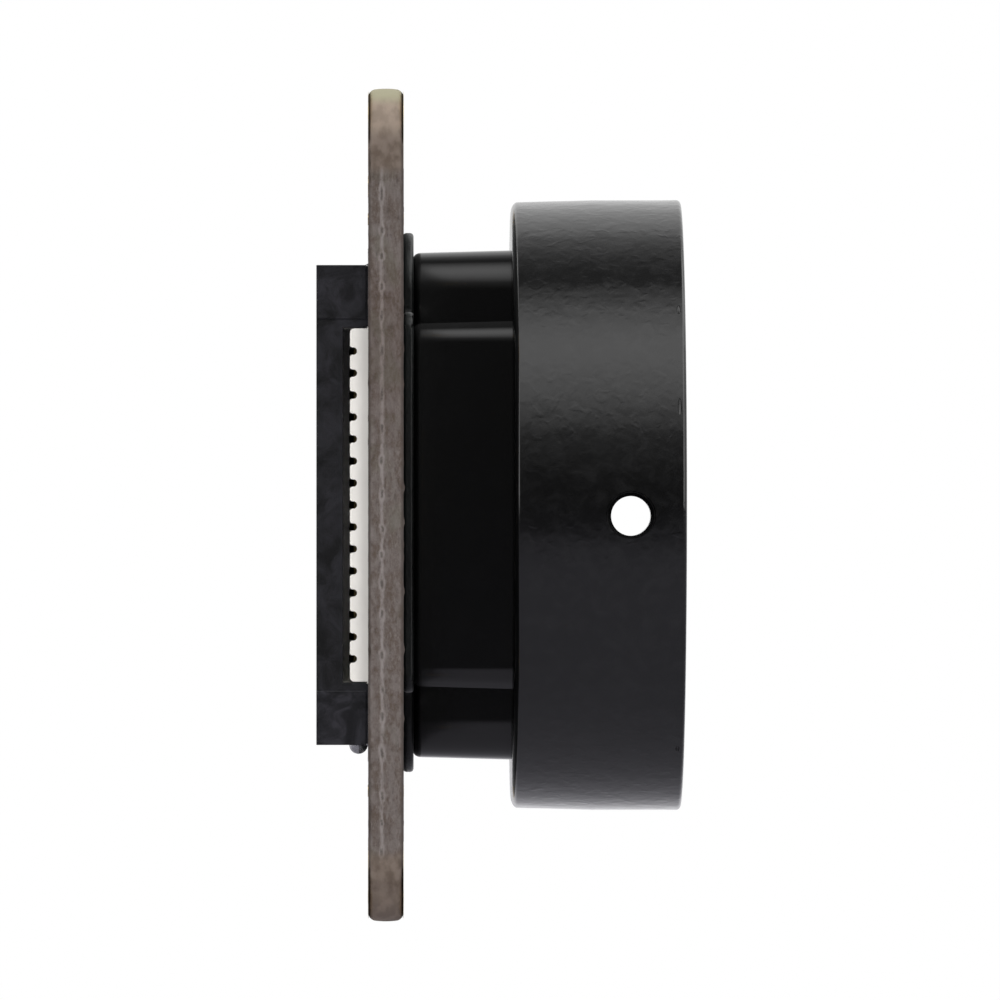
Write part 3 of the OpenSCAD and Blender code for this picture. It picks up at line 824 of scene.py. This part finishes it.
def solder_joint(shape, side, outward, start, end, middle, half, height):
    """A pad with a hollow fillet of solder, from start outward to end, against a terminal."""
    steps = 7
    base = len(shape.verts)
    for i in range(steps + 1):
        t = i / steps
        along = start + (end - start) * t
        rise = PAD_T + (height - PAD_T) * (1 - math.sin(t * math.pi / 2)) ** 1.3
        wide = half * (1 - 0.12 * t)
        section = ((wide, 0.0), (wide, rise * 0.75), (wide * 0.8, rise))
        section = [(-across, h) for across, h in section] + list(reversed(section))
        for across, h in section:
            x = -h if side == BACK else BOARD_T + h
            flat = (along, middle + across) if abs(outward.y) > 0.5 else (middle + across, along)
            shape.verts.append((x, *flat))
    shape.faces += capped_faces(steps + 1, 6, base)


def solder_pad(shape, side, outward, start, end, middle, half):
    """A flat pad of solder that lies start..end along outward."""
    lows, highs = sorted((start, end))
    across = (middle - half - PAD_MARGIN, middle + half + PAD_MARGIN)
    spans = (lows, highs, *across) if abs(outward.y) > 0.5 else (*across, lows, highs)
    shape.block(*spans, *level(side, PAD_T))


def build_solder(paint):
    """Solder on every terminal, lead and contact tail."""
    joints = Shape()
    for low, high, side, outward in TERMINALS:
        outer, inner, middle, half = span(low, high, outward)
        sign = outward.y + outward.z
        toe = outer + sign * (0.28 + 0.2 * half)
        tall = (high.x - low.x) * 0.62
        solder_joint(joints, side, outward, outer - sign * 0.03, toe, middle, half * 1.08, tall)
        solder_pad(joints, side, outward, inner - sign * 0.05, outer, middle, half)
    for low, high, side, outward in LEADS:
        outer, _, middle, half = span(low, high, outward)
        sign = outward.y
        heel, toe = outer - sign * 0.04, outer + sign * 0.26
        solder_joint(joints, side, outward, heel, toe, middle, half + 0.05, 0.13)
        solder_pad(joints, side, outward, outer - sign * 0.52, outer, middle, half)
    away = Vector((0, 1, 0))
    for z in TAILS:
        solder_joint(joints, BACK, away, TAIL_Y - 0.04, TAIL_Y + 0.35, z, 0.2, 0.13)
        solder_pad(joints, BACK, away, TAIL_Y - 0.75, TAIL_Y, z, 0.16)
    low, high = OSCILLATOR
    for y in (low.y, high.y):
        for z in (low.z, high.z):
            joints.dot(y, z, 0.42, *level(BACK, PAD_T + 0.02), steps=20)
    place(joints.build("solder_joints", 40), paint)


def stitching():
    """Places of the small ground holes round the board's edge."""
    places = []
    for i in range(-5, 6):
        at = i * STITCH_PITCH
        if i != 0:
            places += [(EDGE_LINE, at), (at, EDGE_LINE), (at, -EDGE_LINE)]
        if abs(at) > 11.5:
            places.append((-EDGE_LINE, at))
    return places


def tail_end(i):
    """Where the line from contact tail i ends under the chips."""
    return -4.9 + 0.55 * (i % 4), (i - (len(TAILS) - 1) / 2) * 0.38


# lines on the front, fanning out from the holder to both sides
FAN_Z = [-5.4 + 1.8 * k for k in range(7)]
FAN_RIGHT_Y, FAN_LEFT_Y = 14.6, -13.5

# lines at each regulator, from its middle: points and width
REGULATOR_LINES = (
    (((-1.6, 0.85), (-2.4, 0.85)), 0.6),
    (((-1.6, -0.85), (-2.4, -0.85)), 0.6),
    (((1.6, -0.85), (2.4, -0.85)), 0.45),
    (((3.4, -1.3), (4.2, -1.3), (5.3, -0.2)), 0.45),
)


def trace_paths():
    """Routes of the copper lines on the back, as (points, width), in four groups that may cross."""
    tails, rising, falling, paths = [], [], [], []
    middle = (len(TAILS) - 1) / 2
    for i, z in enumerate(TAILS):
        end, inner = tail_end(i)
        bend = TAIL_Y + 0.75 + 0.03 * abs(i - middle)
        after = bend + abs(z - inner)
        tails.append(([(TAIL_Y, z), (bend, z), (after, inner), (max(end, after + 0.3), inner)], 0.15))
    for low, high, side, outward in TERMINALS:
        if side == BACK:
            outer, _, across, _ = span(low, high, outward)
            sign = outward.y + outward.z
            stub = [(outer + sign * 0.2, across), (outer + sign * 0.75, across)]
            if abs(outward.y) < 0.5:
                stub = [(b, a) for a, b in stub]
            (rising if sign > 0 else falling).append((stub, 0.25))
    for low, high in REGULATORS:
        y, z = (low.y + high.y) / 2, (low.z + high.z) / 2
        paths += [([(y + a, z + b) for a, b in points], width) for points, width in REGULATOR_LINES]
    for k in range(4):
        y, z = 0.4 - 0.35 * k, 2.3 - 0.35 * k
        paths.append(([(-3.0, z), (-1.2, z), (y, z - 1.6 + 0.35 * k), (y, -3.5)], 0.15))
    for k in range(3):
        shift = 0.4 * k
        y, top = 4.9 - shift, 8.9 - shift
        paths.append(([(y, shift - 8.0), (y, top - 1.5), (y - 1.5, top), (-7, top)], 0.18))
    paths += edge_strips([(0, 1), (0, -1), (1, 0)])
    return tails, rising, falling, paths


def edge_strips(edges):
    """Wide lines along some edges of the board, each given by its outward direction."""
    strips = []
    for y, z in edges:
        ends = [(y * EDGE_LINE + z * a, z * EDGE_LINE + y * a) for a in (-EDGE_RUN, EDGE_RUN)]
        strips.append((ends, EDGE_WIDTH))
    return strips


def build_copper(mask, gold):
    """Copper lines under the mask, and bare gold-plated rings, vias and test points."""
    traces = Shape()
    for rank, group in enumerate(trace_paths()):
        for points, width in group:
            traces.ribbon(points, width, *level(BACK, RAISE - TRACE_STEP * rank))
    front = edge_strips([(0, -1), (-1, 0), (0, 1), (1, 0)])
    for k, z in enumerate(FAN_Z):
        front.append(([(9.6, z), (10.6 + 0.3 * (k % 2), z), (FAN_RIGHT_Y, z * 0.7)], 0.15))
        front.append(([(-9.6, z), (-11.5, z), (FAN_LEFT_Y, z * 0.6)], 0.2))
    for points, width in front:
        traces.ribbon(points, width, *level(FRONT, RAISE))
    place(traces.build("copper_traces", 30), mask)

    plating = Shape()
    vias = stitching()
    vias += [tail_end(i) for i in range(len(TAILS)) if i % 4 != 3]
    vias += [(FAN_RIGHT_Y, z * 0.7) for z in FAN_Z[::2]]
    vias += [(FAN_LEFT_Y, z * 0.6) for z in FAN_Z]
    for y, z in vias:
        for side in SIDES:
            plating.washer(y, z, VIA_R, VIA_HOLE_R, *level(side, RAISE + 0.006), steps=16)
    lining = MOUNT_HOLE_R - 0.04
    for y, z in MOUNT_PLACES:
        plating.washer(y, z, MOUNT_HOLE_R, lining, -0.003, BOARD_T + 0.003, steps=48)
        for side in SIDES:
            plating.washer(y, z, MOUNT_HOLE_R + 0.75, lining, *level(side, PLATING_T), steps=48)
    for y, z in ((16.4, 12.2), (16.4, -12.2), (-13.6, 14.6)):
        plating.dot(y, z, 0.5, *level(BACK, PAD_T))
    for k in range(6):
        plating.dot(12.6 - 1.5 * k, 11.6, 0.4, *level(BACK, PAD_T))
    place(plating.build("plated_copper", 30), gold)

    # dark discs in the vias' holes: painted shade standing in for the dark inside of each hole
    holes = Shape()
    for y, z in vias:
        for side in SIDES:
            holes.dot(y, z, VIA_HOLE_R, *level(side, 0.004), steps=16)
    shadow = mottled("via_shadow", (0.003, 0.003, 0.003), 0.8, 0.3)
    place(holes.build("via_hole_shade", 30), shadow)


def build_ink(paint):
    """Printed outlines and first-pin marks, without any lettering."""
    ink = Shape()
    back = level(BACK, INK_T)

    def line(*points, width=INK_WIDTH, side=BACK):
        ink.ribbon(points, width, *level(side, INK_T))

    for low, high in (MEMORY, *REGULATORS):
        for z in (low.z - 0.22, high.z + 0.22):
            line((low.y - 0.1, z), (high.y + 0.1, z))
    # a frame round the oscillator
    over = INK_WIDTH / 2
    low, high = OSCILLATOR
    a, b, c, d = low.y - 0.75, high.y + 0.75, low.z - 0.75, high.z + 0.75
    for z in (c, d):
        line((a - over, z), (b + over, z))
    for y in (a, b):
        line((y, c + over), (y, d - over))
    ink.dot(MEMORY[0].y - 1.35, MEMORY[1].z + 0.35, 0.2, *back)
    ink.dot(low.y - 1.1, low.z - 0.5, 0.2, *back)
    for low, high in REGULATORS:
        ink.dot(low.y - 1.0, high.z + 0.45, 0.17, *back)
    housing = box_mm("connector_housing")[1]
    rear, end = housing.y + 0.2, housing.z + 0.75
    for s in SIDES:
        line((-17.0, s * end), (rear, s * end), (rear, s * (end - 1.6)), width=FRAME_WIDTH)
    first = TAILS[-1] + 0.85
    ink.prism([(TAIL_Y - 0.1, first), (TAIL_Y + 0.45, first + 0.3), (TAIL_Y - 0.1, first + 0.6)], *back)
    # lines above and below each ferrite, open in the middle
    for low, high in solids("ferrite_bodies"):
        a, b = low.y - 0.75, high.y + 0.75
        middle = (a + b) / 2
        for z in (low.z - 0.75, high.z + 0.75):
            line((a, z), (middle - 0.3, z))
            line((middle + 0.3, z), (b, z))
    for y in (1.4, 3.2):
        for s in SIDES:
            line((y - 0.8, s * 7.25), (y + 0.8, s * 7.25))
    # brackets round the holder, on the front
    half = BODY_HALF + 0.9
    over = FRAME_WIDTH / 2
    for s in SIDES:
        line((s * half, over - half), (s * half, half - over), width=FRAME_WIDTH, side=FRONT)
        for t in SIDES:
            line((s * (half + over), t * half), (s * 3.2, t * half), width=FRAME_WIDTH, side=FRONT)
    for low, high in solids("capacitor_bodies"):
        if low.x > 0:
            for s in SIDES:
                y = (low.y + high.y) / 2 + s * 0.52
                line((y, low.z - 0.1), (y, high.z + 0.1), width=0.12, side=FRONT)
    place(ink.build("printed_marks", 30), paint)


def build_small_marks(dark):
    """First-pin dimples on the packages."""
    dots = Shape()
    for (low, high), r in ((MEMORY, 0.28), *((box, 0.13) for box in REGULATORS)):
        inset = 0.42 + r * 0.6
        dots.washer(low.y + inset, high.z - inset, r, r * 0.8, low.x - 0.004, low.x + 0.02)
    place(dots.build("first_pin_marks", 30), dark)


def build_slider_shade_skirts(paint):
    """Black skirts under the slider's ends, down into the board: the slider's wings come close to the board,
    and the skirts close the last gap as a dark piece standing in for the shade in it.
    """
    low, high = box_mm("connector_slider")
    shade_skirts = Shape()
    for s in SIDES:
        z0, z1 = sorted((s * 8.12, s * (high.z - 0.05)))
        # a dark piece put where there is only shade between the slider's wings and the board
        shade_skirts.block(low.y + 0.05, low.y + 0.4, z0, z1, high.x - 0.02, -0.006)
    place(shade_skirts.build("slider_shade_skirts", 30), paint, body="slider")


def sensor_paint():
    """The sensor's light-sensitive area: dark, with a faint green and violet shimmer."""
    paint = Paint("pixel_array", (0.03, 0.045, 0.05), 0.18, metallic=0.55, coat=0.4)
    _, y, z = paint.axes()
    shimmer = paint.noise(0.22, 2, stretch=(0, 1, 1), distortion=0.5)
    paint.color(paint.mix(paint.ramp(shimmer, 0.35, 0.65), (0.03, 0.07, 0.06), (0.07, 0.045, 0.1)))
    rows = paint.math("SINE", paint.times(z, 60.0))
    columns = paint.math("SINE", paint.times(y, 60.0))
    paint.bump(paint.times(rows, columns), 0.0015)
    return paint


def build_sensor_details(gold):
    """The light-sensitive area and the rows of bond pads on the die."""
    mid_y, mid_z = (DIE_LOW.y + DIE_HIGH.y) / 2, (DIE_LOW.z + DIE_HIGH.z) / 2
    array = Shape()
    outline = [(mid_y + a, mid_z + b) for a, b in rounded_outline(2.6, 3.45, 0.05, 3)]
    array.prism(outline, DIE_HIGH.x, DIE_HIGH.x + 0.008)
    place(array.build("pixel_array", 30), sensor_paint())
    pads = Shape()
    for s in SIDES:
        for i in range(-14, 15):
            y, z = mid_y + s * 2.95, mid_z + i * 0.24
            pads.block(y - 0.06, y + 0.06, z - 0.07, z + 0.07, DIE_HIGH.x, DIE_HIGH.x + 0.005)
    place(pads.build("bond_pads", 30), gold)


# ---------- carried-over CAD nodes


def dress(node, paint, bevel=0.0):
    """Gives a CAD node its material and softens its edges by bevel millimetres."""
    obj = NODES[node]
    wear(obj, paint)
    if bevel:
        weld = obj.modifiers.new("weld", "WELD")
        weld.merge_threshold = 1e-6
        edge = obj.modifiers.new("edge", "BEVEL")
        edge.width = bevel * MM
        edge.segments = 3
        edge.limit_method = "ANGLE"
        edge.angle_limit = math.radians(35)
        edge.harden_normals = True
        edge.use_clamp_overlap = bevel < 0.1   # the gasket is thinner than its rounding


def slider_paint():
    """Black moulding with faint cloudy flow marks, paler at its ends."""
    paint = Paint("connector_black", (0.009, 0.009, 0.01), 0.5, specular=0.3)
    clouds = paint.noise(0.8, 5, 0.62, distortion=0.9)
    z = paint.axes()[2]
    color = paint.mix(paint.ramp(clouds, 0.35, 0.7), (0.001, 0.001, 0.0014), (0.0105, 0.0102, 0.0135))
    ends = paint.plus(paint.ramp(z, -8.7, -8.2, 0.5, 0.0), paint.ramp(z, 8.2, 8.7, 0.0, 0.2))
    pale = paint.mix(paint.ramp(clouds, 0.38, 0.64), (0.005, 0.005, 0.0075), (0.032, 0.031, 0.039))
    paint.color(paint.mix(ends, color, pale))
    paint.roughness(paint.ramp(clouds, 0.3, 0.7, 0.42, 0.55))
    paint.bump(paint.noise(12, 3), 0.004)
    return paint


def build_materials():
    """Dresses the CAD nodes that stay, and returns the metals that the new pieces share."""
    def metal(name, color, roughness, variation=0.1, grain=3.0, depth=0.003):
        return mottled(name, color, roughness, variation, grain, depth, metallic=1.0)

    tin = metal("tin", (0.62, 0.61, 0.6), 0.36)
    gold = metal("gold_flash", (0.78, 0.6, 0.3), 0.3)
    solder = metal("solder", (0.42, 0.42, 0.43), 0.3, 0.25, depth=0.02)
    package = mottled("package", (0.02, 0.02, 0.022), 0.55, 0.3, 3.0, 0.008)
    gasket = mottled("gasket", (0.0045, 0.0055, 0.005), 0.4, 0.4, 2.0, 0.02, specular=0.35)
    black = slider_paint()
    build_slider_shade_skirts(black)
    for node, paint, bevel in (
        ("connector_housing", mottled("connector_white", (0.9, 0.87, 0.81), 0.45, 0.04, 1.5, 0.003), 0.02),
        ("connector_slider", black, 0.025),
        # the contacts' metal is darker than their gold flash: painted shade, for where they lie deep in the
        # connector's notches
        ("connector_contacts", metal("shaded_contact_bronze", (0.3, 0.22, 0.11), 0.45, 0.15), 0.01),
        ("connector_hold_downs", tin, 0.02),
        ("hold_down_solder", solder, 0.0),
        ("holder_gasket", gasket, 0.16),
        ("holder_screws", metal("zinc", (0.58, 0.59, 0.61), 0.3, grain=2.0), 0.02),
        ("memory_chip_body", package, 0.03),
        ("regulator_bodies", package, 0.03),
        ("memory_chip_leads", tin, 0.02),
        ("regulator_leads", tin, 0.02),
        ("oscillator_base", mottled("oscillator_ceramic", (0.12, 0.09, 0.07), 0.5), 0.02),
        ("oscillator_lid", metal("oscillator_lid", (0.66, 0.6, 0.46), 0.3, 0.06, 4.0, 0.004), 0.02),
        ("capacitor_bodies", mottled("capacitor", (0.24, 0.15, 0.085), 0.42, 0.14), 0.02),
        ("capacitor_ends", tin, 0.03),
        ("resistor_bodies", mottled("resistor", (0.014, 0.014, 0.018), 0.28, 0.2), 0.015),
        ("resistor_ends", tin, 0.02),
        ("ferrite_bodies", mottled("ferrite", (0.05, 0.05, 0.054), 0.6, 0.2), 0.03),
        ("ferrite_ends", tin, 0.04),
        ("sensor_spacer", mottled("sensor_frame", (0.02, 0.02, 0.02), 0.6), 0.0),
        ("sensor_solder_balls", solder, 0.0),
        ("sensor_die", mottled("silicon", (0.09, 0.1, 0.13), 0.2, 0.2, specular=0.8), 0.0),
    ):
        dress(node, paint, bevel)
    for node, tint in (("filter_glass", (0.8, 0.95, 0.97)), ("sensor_cover_glass", (0.97, 0.99, 0.99))):
        glass = mottled(node, tint, 0.02, 0.02, 2.0, 0.0005)
        glass.set("Transmission Weight", 1.0)
        glass.set("IOR", 1.5)
        dress(node, glass)
    return tin, gold


# ---------- camera, light and floor

CAMERA_AT = Vector((0.0008, -0.6, 0.0))
CAMERA_TO = Vector((0.006155, 0.0, 0.000235))
LENS_MM = 460.5
STAGE_AIM = Vector((0.006, 0, 0))
KEY_LIGHT = ((0.3, 0.22), (0.55, 0.3), (0.85, 0.5), (1.15, 0.35), (1.5, 0.42))  # height in metres, radiance
KEY_WIDTH = 1.4
KEY_ELEVATION = math.radians(60)
FLOOR_Z = -0.045
FLOOR_REACH = 0.6       # from here on the camera sees the floor as white
FLOOR_NEAR = (0.06, 0.06, 0.065)
FLOOR_MIDDLE = (0.29, 0.285, 0.32)
FLOOR_FAR = (0.68, 0.675, 0.7)
BACKDROP_Y = 1.7
BACKDROP_TOP = 2.4
STAGE_HALF = 3.0


def aim(obj, target):
    obj.rotation_euler = (Vector(target) - obj.location).to_track_quat("-Z", "Y").to_euler()


def add_camera():
    camera = bpy.data.objects.new("camera", bpy.data.cameras.new("camera"))
    camera.data.lens = LENS_MM
    camera.data.sensor_width = 36
    camera.data.clip_start = 0.01
    camera.data.clip_end = 20
    camera.location = CAMERA_AT
    aim(camera, CAMERA_TO)
    bpy.context.scene.collection.objects.link(camera)
    bpy.context.scene.camera = camera


def key_light(name, distance, height, radiance):
    """An area light above the camera, as bright from anywhere."""
    light = bpy.data.lights.new(name, "AREA")
    light.shape = "RECTANGLE"
    light.size, light.size_y = KEY_WIDTH, height
    light.energy = radiance * math.pi * KEY_WIDTH * height
    lamp = bpy.data.objects.new(name, light)
    lamp.location = distance * Vector((0.0, -math.cos(KEY_ELEVATION), math.sin(KEY_ELEVATION)))
    aim(lamp, STAGE_AIM)
    lamp.visible_camera = False
    bpy.context.scene.collection.objects.link(lamp)


def bare_material(name):
    """A material without a shader, its node builder and its surface socket."""
    material = bpy.data.materials.new(name)
    material.use_nodes = True
    nodes = Nodes(material.node_tree)
    nodes.tree.nodes.clear()
    return material, nodes, nodes.add("ShaderNodeOutputMaterial").inputs[0]


def backdrop_material():
    material, nodes, surface = bare_material("backdrop")
    nodes.link(nodes.add("ShaderNodeEmission").outputs[0], surface)
    return material


def floor_material():
    """A floor that is dark in front, pale behind and pale to the camera, and turns white for it far away."""
    material, nodes, surface = bare_material("floor")
    shine = nodes.add("ShaderNodeEmission")
    diffuse = nodes.add("ShaderNodeBsdfDiffuse")
    blend = nodes.add("ShaderNodeMixShader")
    nodes.link(diffuse.outputs[0], blend.inputs[1])
    nodes.link(shine.outputs[0], blend.inputs[2])
    nodes.link(blend.outputs[0], surface)
    where = nodes.add("ShaderNodeNewGeometry").outputs["Position"]
    seen = nodes.add("ShaderNodeLightPath").outputs["Is Camera Ray"]
    y = nodes.split(where)[1]
    tone = nodes.mix(nodes.ramp(y, -0.35, -0.06), FLOOR_NEAR, FLOOR_MIDDLE)
    tone = nodes.mix(nodes.ramp(y, 0.0, 0.12), tone, FLOOR_FAR)
    nodes.link(nodes.mix(seen, tone, FLOOR_FAR), diffuse.inputs["Color"])
    length = nodes.add("ShaderNodeVectorMath", operation="LENGTH")
    nodes.link(where, length.inputs[0])
    far = nodes.ramp(length.outputs["Value"], FLOOR_REACH * 0.2, FLOOR_REACH)
    nodes.link(nodes.times(far, seen), blend.inputs[0])
    return material


def stage_plane(name, corners, material):
    mesh = bpy.data.meshes.new(name)
    mesh.from_pydata(corners, [], [(0, 1, 2, 3)])
    plane = bpy.data.objects.new(name, mesh)
    mesh.materials.append(material)
    bpy.context.scene.collection.objects.link(plane)


def add_world():
    """A tent that is bright at the sides and behind, dimmer above and dark in front.

    Where the camera or glass looks straight at it, it is white.
    """
    world = bpy.data.worlds.new("studio")
    bpy.context.scene.world = world
    world.use_nodes = True
    nodes = Nodes(world.node_tree)
    x, y, z = nodes.split(nodes.add("ShaderNodeTexCoord").outputs["Generated"])
    aside = nodes.math("ABSOLUTE", x)
    strips = nodes.ramp(aside, 0.32, 0.48, 0.0, 2.7)
    sides = nodes.math("MINIMUM", strips, nodes.ramp(aside, 0.74, 0.86, 2.7, 1.0))
    rising = nodes.ramp(z, 0.1, 0.55, 0.085, 0.36)
    above = nodes.math("MINIMUM", rising, nodes.ramp(z, 0.6, 0.75, 0.4, 0.17))
    behind = nodes.ramp(y, -0.05, 0.9, 0.04, 1.0)
    light = nodes.math("MAXIMUM", nodes.math("MAXIMUM", sides, above), behind)
    path = nodes.add("ShaderNodeLightPath")
    seen = nodes.math("MAXIMUM", path.outputs["Is Camera Ray"], path.outputs["Is Transmission Ray"])
    white = nodes.add("ShaderNodeMix")
    nodes.link(seen, white.inputs[0])
    nodes.link(light, white.inputs[2])
    white.inputs[3].default_value = 1.0
    background = nodes.tree.nodes["Background"]
    background.inputs["Color"].default_value = (1, 1, 1, 1)
    nodes.link(white.outputs[0], background.inputs["Strength"])


def add_studio():
    add_world()
    for i, (height, radiance) in enumerate(KEY_LIGHT):
        key_light(f"key_{i}", 1.2 + 0.02 * i, height, radiance)
    half, z = STAGE_HALF, FLOOR_Z
    floor = [(-half, -half, z), (half, -half, z), (half, half, z), (-half, half, z)]
    stage_plane("floor", floor, floor_material())
    y, top = BACKDROP_Y, BACKDROP_TOP
    backdrop = [(-half, y, z), (half, y, z), (half, y, top), (-half, y, top)]
    stage_plane("backdrop", backdrop, backdrop_material())
    bpy.context.scene.view_settings.view_transform = "Standard"


add_camera()
add_studio()
tin, gold = build_materials()
holder = holder_paint()
build_lens_holder(holder)
build_thread(holder)
mask = mask_paint("solder_mask")
build_laminate(laminate_paint())
build_masks(mask)
build_solder(tin)
build_copper(mask_paint("masked_copper", 1.6), gold)
build_ink(mottled("white_ink", (0.72, 0.72, 0.7), 0.55, 0.05, 6.0, 0.004))
build_small_marks(mottled("package_gloss", (0.012, 0.012, 0.013), 0.25, 0.2))
build_sensor_details(gold)
